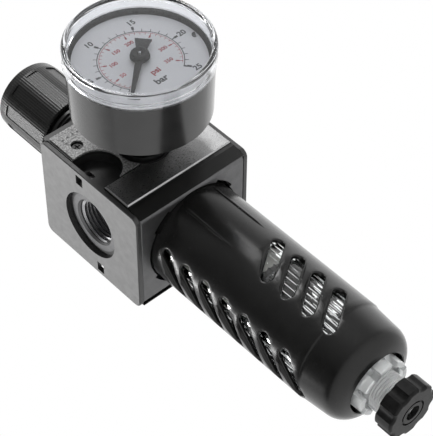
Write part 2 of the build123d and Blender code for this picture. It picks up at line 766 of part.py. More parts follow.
save(bowl_guard.part, "bowl_guard")

# ---- drain -----------------------------------------------------------------------------------------------
with BuildPart() as drain_stem:
    with BuildSketch(Plane.XZ):
        with BuildLine():
            Polyline(
                (1.0, DRAIN_END + 2.0),
                (3.9, DRAIN_END + 2.0),
                (3.9, -112.8),
                (2.2, -111.8),
                (2.2, -109.4),
                (1.5, -109.4),
                (1.5, -108.0),
                (2.2, -108.0),
                (2.2, -107.2),
                (0, -107.2),
                (0, -113.0),
                (1.0, -113.0),
                close=True,
            )
        make_face()
    revolve(axis=Axis.Z)
    with BuildSketch(Plane.YZ.offset(-5)):
        with Locations((0, -115.5)):
            Circle(0.9)
    extrude(amount=10, mode=Mode.SUBTRACT)
save(drain_stem.part, "drain_stem")

with BuildPart() as drain_oring:
    with BuildSketch(Plane.XZ):
        with Locations((2.14, -108.7)):
            Ellipse(0.6, 0.62)
    revolve(axis=Axis.Z)
save(drain_oring.part, "drain_oring")

FLUTES = 8
with BuildPart() as drain_knob:
    with BuildSketch(Plane.XY.offset(DRAIN_END)):
        Circle(DRAIN_R)
        with PolarLocations(DRAIN_R + 2.3, FLUTES, start_angle=22.5):
            Circle(3.1, mode=Mode.SUBTRACT)
    extrude(amount=DRAIN_TOP - DRAIN_END)
    fillet(drain_knob.faces().sort_by(Axis.Z)[0].edges(), 1.0)
    fillet(drain_knob.faces().sort_by(Axis.Z)[-1].edges(), 0.4)
    with BuildSketch(Plane.XY.offset(DRAIN_TOP)):
        Circle(DRAIN_NECK_R + 0.06)
    extrude(amount=-(DRAIN_TOP - DRAIN_END - 1.9), mode=Mode.SUBTRACT)
    with BuildSketch(Plane.XY.offset(DRAIN_END)):
        Circle(2.8)
    extrude(amount=2.0, mode=Mode.SUBTRACT)
    with BuildSketch(Plane.XY.offset(DRAIN_END)):
        Circle(4.9)
        Circle(4.2, mode=Mode.SUBTRACT)
    extrude(amount=0.5, mode=Mode.SUBTRACT)
save(drain_knob.part, "drain_knob")

# ---- gauge -----------------------------------------------------------------------------------------------
with BuildPart() as gauge_seal:
    with BuildSketch(Plane.XZ.offset(HALF_D)):
        Circle(SEAL_R)
        Circle(GAUGE_PORT_R + 0.1, mode=Mode.SUBTRACT)
    extrude(amount=SEAL_T)
save(gauge_seal.part, "gauge_seal")

CASE_T = 1.3
with BuildPart() as gauge_socket:
    with BuildSketch(Plane.XZ.offset(HALF_D - 10.0)):
        Circle(GAUGE_PORT_R - 0.04)
    extrude(amount=11.6)
    with BuildSketch(Plane.XZ.offset(HALF_D + SEAL_T)):
        Circle(8.8)
    extrude(amount=2.4)
    with BuildSketch(Plane.XZ.offset(HALF_D + 4.0)):
        RegularPolygon(7.0, 4, major_radius=False)
    extrude(amount=11.0)
    with BuildSketch(Plane.XZ.offset(HALF_D + 15.0)):
        Circle(6.4)
    extrude(amount=CASE_BACK + 4.0 - HALF_D - 15.0)
    with BuildSketch(Plane.XZ.offset(HALF_D - 10.0)):
        Circle(1.6)
    extrude(amount=CASE_BACK + 1.0 - HALF_D + 10.0, mode=Mode.SUBTRACT)
save(gauge_socket.part, "gauge_socket")

with BuildPart() as gauge_case:
    with BuildSketch(Plane.XY):
        with BuildLine():
            Polyline(
                (6.45, -CASE_BACK),
                (CASE_BACK_R - 1.0, -CASE_BACK),
                (CASE_BACK_R, -CASE_BACK - 1.0),
                (CASE_FRONT_R, -CASE_FRONT),
                (CASE_FRONT_R - CASE_T, -CASE_FRONT),
                (CASE_BACK_R - CASE_T, -CASE_BACK - 1.6),
                (6.45, -CASE_BACK - 1.6),
                close=True,
            )
        make_face()
    revolve(axis=Axis.Y)
save(gauge_case.part, "gauge_case")

with BuildPart() as gauge_lens:
    with BuildSketch(Plane.XY):
        with BuildLine():
            Polyline(
                (0, -LENS_FRONT),
                (21.8, -LENS_FRONT + 0.4),
                (23.9, -LENS_FRONT + 1.7),
                (LENS_R, -LENS_FRONT + 3.4),
                (LENS_R, -CASE_FRONT + 0.4),
                (CASE_FRONT_R + 0.05, -CASE_FRONT + 0.4),
                (CASE_FRONT_R + 0.05, -CASE_FRONT - 0.05),
                (22.3, -CASE_FRONT - 0.05),
                (22.3, -LENS_FRONT + 2.6),
                (21.0, -LENS_FRONT + 2.0),
                (0, -LENS_FRONT + 2.0),
                close=True,
            )
        make_face()
    revolve(axis=Axis.Y)
save(gauge_lens.part, "gauge_lens")

with BuildPart() as gauge_dial:
    with BuildSketch(Plane.XZ.offset(DIAL_FACE - 0.8)):
        Circle(22.1)
        Circle(1.2, mode=Mode.SUBTRACT)
    extrude(amount=0.8)
save(gauge_dial.part, "gauge_dial")

# pointer at zero, its tip down and to the left of the hub
POINTER_TURN = radians(132.0)
pointer_plane = Plane(
    origin=(0, -POINTER_FACE + 0.5, 0),
    x_dir=(cos(POINTER_TURN), 0, sin(POINTER_TURN)),
    z_dir=(0, -1, 0),
)
with BuildPart() as gauge_pointer:
    with BuildSketch(pointer_plane):
        with BuildLine():
            Polyline((-1.3, 0), (-0.6, 16.9), (0.6, 16.9), (1.3, 0), close=True)
        make_face()
        with BuildLine():
            Polyline((-1.0, 0), (1.0, 0), (2.8, -8.2), (-2.8, -8.2), close=True)
        make_face()
        Circle(3.3)
        Circle(0.62, mode=Mode.SUBTRACT)
    extrude(amount=0.5)
save(gauge_pointer.part, "gauge_pointer")

PINION_TEETH, SECTOR_TEETH_ROUND = 10, 80
GEAR_FACE = 50.0
GEAR_GAP = 13.65  # between the pinion's and the sector's axes
SECTOR_Z = -GEAR_GAP
with BuildPart() as pinion_arbor:
    with BuildSketch(Plane.XZ.offset(44.2)):
        Circle(0.6)
    extrude(amount=POINTER_FACE + 0.3 - 44.2)
    with BuildSketch(Plane.XZ.offset(GEAR_FACE - 0.4)):
        Circle(1.1)
        with PolarLocations(1.35, PINION_TEETH, start_angle=90):
            Rectangle(0.7, 0.28)
    extrude(amount=2.0)
save(pinion_arbor.part, "pinion_arbor")

TOOTH_STEP = 360 / SECTOR_TEETH_ROUND
SECTOR_R, TOOTH_R = 11.7, 11.95
with BuildPart() as sector_gear:
    with BuildSketch(Plane.XZ.offset(GEAR_FACE)):
        with Locations((0, SECTOR_Z)):
            Circle(1.8)
        with BuildLine():
            first = PolarLine((0, SECTOR_Z), SECTOR_R, 90 - 42)
            last = PolarLine((0, SECTOR_Z), SECTOR_R, 90 + 24)
            RadiusArc(first @ 1, last @ 1, -SECTOR_R)
        make_face()
        for tooth in range(-9, 5):
            angle = 90 + TOOTH_STEP * (tooth + 0.5)
            across, up = TOOTH_R * cos(radians(angle)), TOOTH_R * sin(radians(angle))
            with Locations((across, SECTOR_Z + up)):
                Rectangle(0.8, 0.3, rotation=angle)
        with BuildLine():
            Polyline(
                (-0.9, SECTOR_Z),
                (0.9, SECTOR_Z),
                (0.7, SECTOR_Z - 4.6),
                (-0.7, SECTOR_Z - 4.6),
                close=True,
            )
        make_face()
    extrude(amount=1.2)
    with BuildSketch(Plane.XZ.offset(45.0)):
        with Locations((0, SECTOR_Z)):
            Circle(0.7)
    extrude(amount=9.6)
save(sector_gear.part, "sector_gear")

with BuildPart() as gauge_link:
    with BuildSketch(Plane.XZ.offset(GEAR_FACE + 1.2)):
        with Locations((2.6, SECTOR_Z - 3.8)):
            SlotCenterToCenter(5.2, 1.6)
    extrude(amount=0.5)
save(gauge_link.part, "gauge_link")

with BuildPart() as movement_frame:
    for face in (44.4, 54.8):
        with BuildSketch(Plane.XZ.offset(face)):
            with Locations((0, SECTOR_Z / 2)):
                RectangleRounded(9.0, 21.0, 1.5)
            Circle(0.66, mode=Mode.SUBTRACT)
            with Locations((0, SECTOR_Z)):
                Circle(0.76, mode=Mode.SUBTRACT)
        extrude(amount=1.2)
    with BuildSketch(Plane.XZ.offset(45.6)):
        with Locations((-3.3, 2.0), (3.3, 2.0)):
            Circle(0.9)
    extrude(amount=9.2)
save(movement_frame.part, "movement_frame")

with BuildPart() as bourdon_tube:
    with BuildLine(Plane.XZ.offset(49.2)):
        bend = CenterArc((0, 0), 19.2, -60, 300)
    with BuildSketch(Plane(origin=bend @ 0, z_dir=bend % 0, x_dir=(0, -1, 0))):
        Ellipse(3.0, 0.9)
    sweep(path=bend)
save(bourdon_tube.part, "bourdon_tube")
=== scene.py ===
"""The looks of an air filter-regulator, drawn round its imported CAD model.

Everything is in metres, in the model's own frame: +Z towards the knob, the gauge towards -Y,
the inlet at -X. Sizes written in millimetres are multiplied by MM.
"""

import json
from math import asin, cos, hypot, pi, radians, sin, sqrt

import bmesh
import bpy
from mathutils import Matrix, Vector
from mathutils.geometry import delaunay_2d_cdt


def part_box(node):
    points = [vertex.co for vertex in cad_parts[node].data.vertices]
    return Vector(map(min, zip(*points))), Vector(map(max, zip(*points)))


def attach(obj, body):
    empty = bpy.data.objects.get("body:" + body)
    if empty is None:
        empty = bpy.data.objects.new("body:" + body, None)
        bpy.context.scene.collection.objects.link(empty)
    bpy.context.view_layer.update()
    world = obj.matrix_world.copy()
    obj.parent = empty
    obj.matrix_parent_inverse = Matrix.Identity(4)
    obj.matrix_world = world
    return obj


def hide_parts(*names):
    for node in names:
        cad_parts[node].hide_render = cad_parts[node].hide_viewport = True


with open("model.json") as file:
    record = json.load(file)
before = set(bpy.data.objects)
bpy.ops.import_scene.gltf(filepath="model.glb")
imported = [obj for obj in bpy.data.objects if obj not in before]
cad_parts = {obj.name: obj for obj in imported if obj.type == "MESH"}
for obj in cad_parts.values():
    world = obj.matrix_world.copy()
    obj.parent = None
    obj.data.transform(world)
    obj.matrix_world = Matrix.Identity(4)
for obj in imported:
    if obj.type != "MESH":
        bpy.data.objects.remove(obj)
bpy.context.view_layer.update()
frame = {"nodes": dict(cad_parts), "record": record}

MM = 0.001
BLACK = (0.006, 0.006, 0.0058)  # colour of the black mouldings
nodes = frame["nodes"]


# ---- materials ----------------------------------------------------------------------------


class Shader:
    """A principled material whose colour, roughness and bump come from its own nodes."""

    def __init__(self, name):
        self.material = bpy.data.materials.new(name)
        self.material.use_nodes = True
        self.tree = self.material.node_tree
        self.tree.nodes.clear()
        self.output = self.tree.nodes.new("ShaderNodeOutputMaterial")
        self.bsdf = self.tree.nodes.new("ShaderNodeBsdfPrincipled")
        self.link(self.bsdf.outputs["BSDF"], self.output.inputs["Surface"])
        self.place = self.tree.nodes.new("ShaderNodeTexCoord").outputs["Object"]

    def link(self, start, end):
        self.tree.links.new(start, end)

    def node(self, kind, inputs=None, **settings):
        made = self.tree.nodes.new(kind)
        for key, value in settings.items():
            setattr(made, key, value)
        for key, value in (inputs or {}).items():
            if isinstance(value, bpy.types.NodeSocket):
                self.link(value, made.inputs[key])
            else:
                made.inputs[key].default_value = value
        return made

    def constant(self, **values):
        """Set plain numbers and colours on the shader's own sockets."""
        for key, value in values.items():
            self.bsdf.inputs[key.replace("_", " ")].default_value = value

    def noise(self, size, detail=4.0, stretch=(1, 1, 1), roughness=0.55):
        """Noise whose features are about size metres across."""
        scaled = self.node("ShaderNodeMapping", {"Vector": self.place, "Scale": stretch})
        made = self.node(
            "ShaderNodeTexNoise",
            {"Vector": scaled.outputs[0], "Scale": 1 / size, "Detail": detail, "Roughness": roughness},
        )
        return made.outputs["Fac"]

    def remap(self, value, low, high, start=0.3, stop=0.7):
        made = self.node(
            "ShaderNodeMapRange",
            {"Value": value, "From Min": start, "From Max": stop, "To Min": low, "To Max": high},
        )
        return made.outputs[0]

    def mix(self, share, first, second):
        made = self.node("ShaderNodeMix", data_type="RGBA")
        for index, value in ((0, share), (6, first), (7, second)):
            if isinstance(value, bpy.types.NodeSocket):
                self.link(value, made.inputs[index])
            else:
                made.inputs[index].default_value = value
        return made.outputs[2]

    def colour(self, socket):
        self.link(socket, self.bsdf.inputs["Base Color"])

    def rough(self, socket):
        self.link(socket, self.bsdf.inputs["Roughness"])

    def bump(self, height, depth, strength=1.0):
        made = self.node("ShaderNodeBump", {"Height": height, "Distance": depth, "Strength": strength})
        self.link(made.outputs[0], self.bsdf.inputs["Normal"])

    def facing(self, axis):
        """1 where the surface faces along that axis, either way, and 0 elsewhere."""
        geometry = self.node("ShaderNodeNewGeometry")
        parts = self.node("ShaderNodeSeparateXYZ", {"Vector": geometry.outputs["True Normal"]})
        size = self.node("ShaderNodeMath", {0: parts.outputs[axis]}, operation="ABSOLUTE")
        return self.remap(size.outputs[0], 0.0, 1.0, 0.93, 0.985)


def grey(value):
    return (value, value, value, 1.0)


def plain_moulding(name, tone, rough, mottle, spread, shine):
    """Plastic or rubber with slow changes of tone and gloss, and no relief."""
    shader = Shader(name)
    shader.constant(Specular_IOR_Level=shine)
    low = tuple(c * (1 - spread) for c in tone) + (1.0,)
    high = tuple(c * (1 + spread) for c in tone) + (1.0,)
    shader.colour(shader.mix(shader.remap(shader.noise(mottle, 5.0), 0.0, 1.0), low, high))
    shader.rough(shader.remap(shader.noise(1.1 * MM, 4.0), rough - 0.015, rough + 0.025))
    return shader


def moulded(name, tone, rough, grain=0.25 * MM, depth=0.004 * MM, mottle=6 * MM, spread=0.25, shine=0.5):
    """A plain moulding with a fine grain."""
    shader = plain_moulding(name, tone, rough, mottle, spread, shine)
    shader.bump(shader.noise(grain, 3.0), depth)
    return shader


def ridged_moulding():
    """Black plastic with fine ridges running along the knob."""
    ridges, depth = 90.0, 0.03 * MM
    shader = plain_moulding("knob_moulding", BLACK, 0.28, 6 * MM, 0.25, 0.28)
    parts = shader.node("ShaderNodeSeparateXYZ", {"Vector": shader.place})
    angle = shader.node("ShaderNodeMath", {0: parts.outputs["Y"], 1: parts.outputs["X"]}, operation="ARCTAN2")
    turns = shader.node("ShaderNodeMath", {0: angle.outputs[0], 1: ridges}, operation="MULTIPLY")
    wave = shader.node("ShaderNodeMath", {0: turns.outputs[0]}, operation="SINE")
    shader.bump(wave.outputs[0], depth, 0.7)
    return shader


def metal(name, tone, rough, grain=0.3 * MM, depth=0.004 * MM, stretch=(1, 1, 1), spread=0.12):
    """Bare or plated metal with a grain that may be drawn out along one axis."""
    shader = Shader(name)
    shader.constant(Metallic=1.0)
    slow = shader.noise(4 * MM, 6.0)
    low = tuple(c * (1 - spread) for c in tone) + (1.0,)
    high = tuple(min(1.0, c * (1 + spread)) for c in tone) + (1.0,)
    shader.colour(shader.mix(shader.remap(slow, 0.0, 1.0), low, high))
    fine = shader.noise(grain, 4.0, stretch)
    shader.rough(shader.remap(fine, rough - 0.08, rough + 0.1))
    shader.bump(fine, depth)
    return shader


def machined_plate():
    """Fine-milled satin face with dark edges and holes, partly black paint and partly painted shade."""
    shader = Shader("machined_plate")
    face = shader.facing("X")
    slow = shader.noise(3 * MM, 6.0)
    streak = shader.noise(0.35 * MM, 5.0, (1, 1, 0.25))
    tone = shader.mix(shader.remap(slow, 0.0, 1.0), grey(0.085), grey(0.13))
    tone = shader.mix(shader.remap(streak, 0.0, 0.35, 0.35, 0.65), tone, grey(0.19))
    # dark edges and holes: partly black paint, partly painted shade
    shader.colour(shader.mix(face, grey(0.012), tone))
    shader.rough(shader.remap(streak, 0.38, 0.55))
    shader.bump(streak, 0.006 * MM)
    metalness = shader.remap(face, 0.0, 0.35, 0.0, 1.0)
    shader.link(metalness, shader.bsdf.inputs["Metallic"])
    return shader


def cast_block():
    """Cast aluminium, coloured black inside the clamp pockets and in the ring round each port, darkening
    these recesses.
    """
    pocket_floor, pocket_low = 17.5, -10.2  # distance from the middle plane, and lowest height
    ring_in, ring_out, ring_from = 11.3, 13.4, 19.0  # radii round the port axis, and distance out
    shader = metal("cast_aluminium", (0.11, 0.11, 0.112), 0.45, 0.35 * MM, 0.012 * MM)
    cast = shader.bsdf.inputs["Base Color"].links[0].from_socket
    parts = shader.node("ShaderNodeSeparateXYZ", {"Vector": shader.place})

    def combined(operation, first, second=0.0):
        return shader.node("ShaderNodeMath", {0: first, 1: second}, operation=operation).outputs[0]

    def beyond(value, limit):
        return shader.remap(value, 0.0, 1.0, limit * MM, (limit + 0.1) * MM)

    outward = beyond(combined("ABSOLUTE", parts.outputs["Y"]), pocket_floor)
    pocket = combined("MULTIPLY", outward, beyond(parts.outputs["Z"], pocket_low))
    height = combined("POWER", parts.outputs["Z"], 2.0)
    across = combined("POWER", parts.outputs["Y"], 2.0)
    from_axis = combined("SQRT", combined("ADD", height, across))
    sideways = beyond(combined("ABSOLUTE", parts.outputs["X"]), ring_from)
    ring = combined("SUBTRACT", beyond(from_axis, ring_in), beyond(from_axis, ring_out))
    # coloured black in the pockets and port rings, darker than the metal round them
    black = combined("MAXIMUM", pocket, combined("MULTIPLY", ring, sideways))
    shader.colour(shader.mix(black, cast, grey(BLACK[0])))
    shader.link(shader.remap(black, 1.0, 0.0, 0.0, 1.0), shader.bsdf.inputs["Metallic"])
    return shader


def stippled():
    """Silver plate with a coarse chemical stipple."""
    shader = Shader("stippled_silver")
    cells = shader.node("ShaderNodeTexVoronoi", {"Vector": shader.place, "Scale": 1 / (0.55 * MM)})
    cells.feature = "SMOOTH_F1"
    height = cells.outputs["Distance"]
    fine = shader.noise(0.22 * MM, 4.0)
    tone = shader.mix(shader.remap(height, 0.0, 1.0, 0.1, 0.6), grey(0.30), grey(0.085))
    shader.colour(shader.mix(shader.remap(fine, 0.0, 0.3), tone, grey(0.14)))
    shader.constant(Metallic=0.45)
    shader.rough(shader.remap(fine, 0.42, 0.62))
    shader.bump(height, 0.06 * MM, 0.8)
    return shader


def clear_plastic(name, tint, rough=0.02):
    """Clear plastic with faint waves in its surface."""
    shader = Shader(name)
    shader.constant(IOR=1.49, Transmission_Weight=1.0)
    waves = shader.noise(3 * MM, 3.0)
    low = tuple(c * 0.985 for c in tint) + (1.0,)
    shader.colour(shader.mix(shader.remap(waves, 0.0, 1.0), low, tuple(tint) + (1.0,)))
    shader.rough(shader.remap(shader.noise(1.2 * MM, 4.0), rough * 0.5, rough * 1.8))
    shader.bump(waves, 0.003 * MM)
    return shader


def clear_bowl():
    """The bowl's plastic, partly white in the thick foot below the guard's mouth: painted light for the
    bright look of the clear foot.
    """
    foot_top, foot_full, foot_clearness = -105.5, -107.5, 0.62
    shader = clear_plastic("clear_bowl", (0.97, 0.985, 0.985))
    parts = shader.node("ShaderNodeSeparateXYZ", {"Vector": shader.place})
    # the whiter, less clear foot is painted light; the bowl is clear throughout
    clearness = shader.remap(parts.outputs["Z"], foot_clearness, 1.0, foot_full * MM, foot_top * MM)
    shader.link(clearness, shader.bsdf.inputs["Transmission Weight"])
    return shader


def porous():
    shader = Shader("sintered_filter")
    cells = shader.node("ShaderNodeTexVoronoi", {"Vector": shader.place, "Scale": 1 / (0.5 * MM)})
    tone = shader.mix(cells.outputs["Distance"], (0.80, 0.79, 0.74, 1), (0.55, 0.54, 0.5, 1))
    shader.colour(tone)
    shader.rough(shader.remap(shader.noise(0.3 * MM), 0.75, 0.92))
    shader.bump(cells.outputs["Distance"], 0.08 * MM)
    return shader


LOOKS = {
    "block": cast_block(),
    "plate": machined_plate(),
    "trim": stippled(),
    "strip": metal("brushed_strip", (0.30, 0.30, 0.302), 0.30, 0.12 * MM, 0.002 * MM, (0.1, 1, 1)),
    "black_plastic": moulded("black_moulding", BLACK, 0.30, depth=0.002 * MM, shine=0.28),
    "guard": moulded("guard_moulding", BLACK, 0.25, depth=0.002 * MM, shine=0.28),
    "knob": ridged_moulding(),
    "clear": clear_bowl(),
    "window": clear_plastic("gauge_window", (0.75, 0.76, 0.78)),
    "case": moulded("case_moulding", (0.014, 0.014, 0.014), 0.2, 0.4 * MM, 0.0015 * MM),
    "dial": moulded("dial_paint", (0.90, 0.90, 0.915), 0.5, 0.2 * MM, 0.002 * MM, 8 * MM, 0.015),
    "pointer": moulded("pointer_paint", (0.005, 0.005, 0.005), 0.45, shine=0.2),
    "ink": moulded("black_ink", (0.008, 0.008, 0.009), 0.45, 0.15 * MM, 0.001 * MM, 2 * MM, 0.3),
    "red_ink": moulded("red_ink", (0.42, 0.035, 0.05), 0.45, 0.15 * MM, 0.001 * MM, 2 * MM, 0.2),
    "pale_plastic": moulded("pale_moulding", (0.55, 0.55, 0.54), 0.3, spread=0.08),
    "drain": moulded("drain_moulding", (0.005, 0.005, 0.005), 0.38, mottle=1.5 * MM, spread=0.6, shine=0.13),
    "bore": metal("tapped_bore", (0.42, 0.42, 0.43), 0.3, 0.15 * MM, 0.003 * MM),
    "black_steel": metal("black_oxide", (0.03, 0.03, 0.03), 0.35, 0.2 * MM, 0.003 * MM),
    "brass": metal("turned_brass", (0.66, 0.47, 0.22), 0.28, 0.2 * MM, 0.003 * MM),
    "steel": metal("zinc_steel", (0.58, 0.58, 0.6), 0.3, 0.2 * MM, 0.003 * MM),
    "rubber": moulded("nitrile_rubber", (0.02, 0.02, 0.02), 0.6),
    "filter": porous(),
}


# nodes drawn with another look than their slot's
OTHER_LOOKS = {"gauge_socket": "black_steel", "drain_stem": "pale_plastic", "drain_knob": "drain"}


def finish_nodes():
    """Give every CAD node the look of its slot in the record, apart from OTHER_LOOKS."""
    for entry in frame["record"]["subparts"]:
        name = entry["node"]
        look = OTHER_LOOKS.get(name, entry["material_slot"])
        nodes[name].data.materials.clear()
        nodes[name].data.materials.append(LOOKS[look].material)


finish_nodes()

# ---- mesh helpers ---------------------------------------------------------------------------

WELD = 1e-7
AXIS_R = 0.0001  # stands for zero at the axis of a turned piece


def clean(mesh):
    """Weld points that coincide, drop unused ones, and turn every face outwards."""
    work = bmesh.new()
    work.from_mesh(mesh)
    bmesh.ops.remove_doubles(work, verts=work.verts, dist=WELD)
    unused = [point for point in work.verts if not point.link_faces]
    bmesh.ops.delete(work, geom=unused, context="VERTS")
    bmesh.ops.recalc_face_normals(work, faces=work.faces)
    if work.calc_volume(signed=True) < 0:
        bmesh.ops.reverse_faces(work, faces=work.faces)
    work.to_mesh(mesh)
    work.free()


def add_piece(name, points, faces, look, body, slot, sharp=35.0):
    """Make a smooth-shaded piece from points in millimetres, riding on a body."""
    mesh = bpy.data.meshes.new(name)
    mesh.from_pydata([Vector(p) * MM for p in points], [], faces)
    mesh.validate()
    clean(mesh)
    mesh.shade_smooth()
    mesh.set_sharp_from_angle(angle=radians(sharp))
    mesh.materials.append(look.material)
    piece = bpy.data.objects.new(name, mesh)
    bpy.context.scene.collection.objects.link(piece)
    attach(piece, body)
    return piece


def spin(profile, steps, axis="Z", start=0.0, sweep=360.0):
    """Turn a closed outline round an axis; profile(angle) gives its (radius, height) points."""
    whole = abs(sweep - 360.0) < 1e-6
    columns = steps if whole else steps + 1
    points, faces = [], []
    for column in range(columns):
        angle = radians(start + sweep * column / steps)
        outline = profile(angle)
        for radius, height in outline:
            x, y = radius * cos(angle), radius * sin(angle)
            points.append((x, y, height) if axis == "Z" else (x, height, y))
    count = len(outline)
    for column in range(steps):
        near, far = column * count, (column + 1) % columns * count
        for index in range(count):
            after = (index + 1) % count
            faces.append((near + index, near + after, far + after, far + index))
    if not whole:
        faces.append(tuple(range(count)))
        faces.append(tuple(range((columns - 1) * count, columns * count)))
    return points, faces


def arc(centre, radius, start, stop, steps):
    """Points on an arc, angles in degrees."""
    turns = [radians(start + (stop - start) * i / steps) for i in range(steps + 1)]
    return [(centre[0] + radius * cos(t), centre[1] + radius * sin(t)) for t in turns]


def prism(outline, place, depth):
    """A flat plate: outline points in a plane, place(x, y, height) puts them in space."""
    count = len(outline)
    points = [place(x, y, 0.0) for x, y in outline] + [place(x, y, depth) for x, y in outline]
    faces = [tuple(range(count)), tuple(range(2 * count - 1, count - 1, -1))]
    for index in range(count):
        after = (index + 1) % count
        faces.append((index, after, after + count, index + count))
    return points, faces


def joined(parts):
    """Several (points, faces) pairs as one."""
    points, faces = [], []
    for more_points, more_faces in parts:
        base = len(points)
        points += more_points
        faces += [tuple(base + i for i in face) for face in more_faces]
    return points, faces


def screw_ridge(root, crest, pitch, low, high, steps=72, axis="Z"):
    """A V-shaped thread ridge wound from low to high, tapering out at both ends."""
    turns = (high - low) / pitch
    total = int(turns * steps)
    points, faces = [], []
    for index in range(total + 1):
        angle = 2 * pi * index / steps
        middle = low + pitch * index / steps
        grown = min(1.0, index / (steps / 3), (total - index) / (steps / 3))
        grown = max(grown, 0.02)
        top = root + (crest - root) * grown
        for radius, offset in ((root, -0.46), (top, -0.07), (top, 0.07), (root, 0.46)):
            x, y = radius * cos(angle), radius * sin(angle)
            height = middle + offset * pitch * 0.98
            points.append((x, y, height) if axis == "Z" else (height, x, y))
    for index in range(total):
        near, far = 4 * index, 4 * index + 4
        for side in range(4):
            after = (side + 1) % 4
            faces.append((near + side, near + after, far + after, far + side))
    faces.append((0, 1, 2, 3))
    faces.append(tuple(4 * total + i for i in range(4)))
    return points, faces


# ---- gauge dial -------------------------------------------------------------------------------

DIAL_FACE = -59.6
PRINT_T = 0.03
DIAL_Z = -0.4
BAR_START, BAR_STEP = 226.65, 11.13  # angle of 0 bar and degrees for 1 bar
PSI_START, PSI_STEP = 230.1, 0.778  # the same for psi
SCALE_R = 14.0
BAR_REACH, PSI_REACH = 18.4, 8.9  # how far out the numbers stand


def on_dial(x, z, height):
    return (x, DIAL_FACE - height, z + DIAL_Z)


def dial_bar(angle, inner, outer, width):
    """A straight printed line along a radius."""
    turn = radians(angle)
    along, across = Vector((cos(turn), sin(turn))), Vector((-sin(turn), cos(turn)))
    corners = [(inner, -1), (outer, -1), (outer, 1), (inner, 1)]
    outline = [tuple(along * radius + across * side * width / 2) for radius, side in corners]
    return prism(outline, on_dial, PRINT_T)


def dial_arc(radius, width, start, stop):
    outer = arc((0, 0), radius + width / 2, start, stop, 90)
    inner = arc((0, 0), radius - width / 2, stop, start, 90)
    return prism(outer + inner, on_dial, PRINT_T)


def dial_text(words, x, z, size):
    """Upright text centred on a place of the dial, as a thin solid."""
    curve = bpy.data.curves.new("lettering", "FONT")
    curve.body = words
    curve.size = size
    curve.align_x = "CENTER"
    curve.align_y = "CENTER"
    curve.extrude = PRINT_T / 2
    curve.offset = 0.03 * size
    curve.resolution_u = 4
    holder = bpy.data.objects.new("lettering", curve)
    mesh = bpy.data.meshes.new_from_object(holder)
    points = [on_dial(v.co.x + x, v.co.y + z, v.co.z + PRINT_T / 2) for v in mesh.vertices]
    faces = [tuple(face.vertices) for face in mesh.polygons]
    bpy.data.objects.remove(holder)
    bpy.data.meshes.remove(mesh)
    bpy.data.curves.remove(curve)
    return points, faces


def dial_number(number, angle, reach, size):
    """An upright number standing at an angle of the dial."""
    turn = radians(angle)
    return dial_text(str(number), reach * cos(turn), reach * sin(turn), size)


def add_dial_print():
    """Bar scale in black and psi scale in red, with a stop bar and a mark at the rim."""
    black = [dial_arc(SCALE_R, 0.3, -53.5, 215.0)]
    black.append(dial_bar(-53.0, SCALE_R, SCALE_R + 1.2, 0.3))
    for step in range(1, 26):
        angle = BAR_START - BAR_STEP * step
        if step % 5:
            black.append(dial_bar(angle, SCALE_R, SCALE_R + 1.3, 0.25))
        else:
            black.append(dial_bar(angle, SCALE_R, SCALE_R + 1.2, 0.3))
            black.append(dial_bar(angle, SCALE_R + 1.0, SCALE_R + 2.5, 0.85))
            black.append(dial_number(step, angle, BAR_REACH, 3.0))
    black.append(dial_arc(16.9, 0.75, -144.0, -131.0))
    black.append(dial_text("bar", -1.0, -11.2, 3.6))
    add_piece("dial_bar_scale", *joined(black), LOOKS["ink"], "port_block", "pointer", 80)
    red = [dial_arc(SCALE_R - 0.6, 0.18, -46.0, 214.0)]
    for step in range(1, 36):
        angle = PSI_START - PSI_STEP * 10 * step
        if step % 5:
            red.append(dial_bar(angle, SCALE_R - 1.5, SCALE_R - 0.5, 0.2))
            continue
        red.append(dial_bar(angle, SCALE_R - 2.9, SCALE_R - 0.5, 0.22))
        red.append(dial_bar(angle, SCALE_R - 2.9, SCALE_R - 1.7, 0.6))
        red.append(dial_number(step * 10, angle, PSI_REACH, 2.1))
    red.append(dial_text("psi", 0.2, -6.9, 3.2))
    add_piece("dial_psi_scale", *joined(red), LOOKS["red_ink"], "port_block", "dial", 80)
    half_moon = prism(arc((21.2, -2.3), 1.25, 60, 240, 16), on_dial, 0.25)
    add_piece("dial_stop_mark", *half_moon, LOOKS["ink"], "port_block", "pointer", 60)


def add_pointer_hub():
    """Moulded hub on the pointer, with the end of the arbor showing in its middle."""
    face = -61.95

    def outline(angle):
        dome = arc((2.3, face - 0.2), 0.75, -90, 0, 6)
        return [(0.45, face - 0.1)] + dome + [(3.05, face + 0.05), (0.45, face + 0.05)]

    add_piece("pointer_hub", *spin(outline, 64, "Y"), LOOKS["pointer"], "pointer", "pointer")

    def pin(angle):
        tip = face - 1.0
        return [(AXIS_R, tip), (0.3, tip), (0.42, tip + 0.15), (0.42, face), (AXIS_R, face)]

    add_piece("pointer_pin", *spin(pin, 24, "Y"), LOOKS["steel"], "pointer", "brass")


def add_lens():
    """Clear snap-on window: thick rim with a rounded edge, and a front set in slightly."""
    front, foot, rim, bore = -67.6, -61.3, 25.0, 23.1

    def outline(angle):
        edge = arc((rim - 1.0, front + 1.0), 1.0, -90, 0, 8)
        return (
            [(AXIS_R, front + 0.45), (bore, front + 0.45), (bore + 0.3, front + 0.05), (bore + 0.4, front)]
            + edge
            + [(rim, front + 3.4), (rim - 0.12, front + 3.55), (rim, front + 3.7), (rim, foot)]
            + [(24.45, foot), (24.45, foot - 0.45), (bore, foot - 0.45)]
            + [(bore, front + 1.9), (AXIS_R, front + 1.9)]
        )

    lens = add_piece("lens", *spin(outline, 200, "Y"), LOOKS["window"], "port_block", "clear", 28)
    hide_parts("gauge_lens")


# ---- bonnet and ports ---------------------------------------------------------------------------


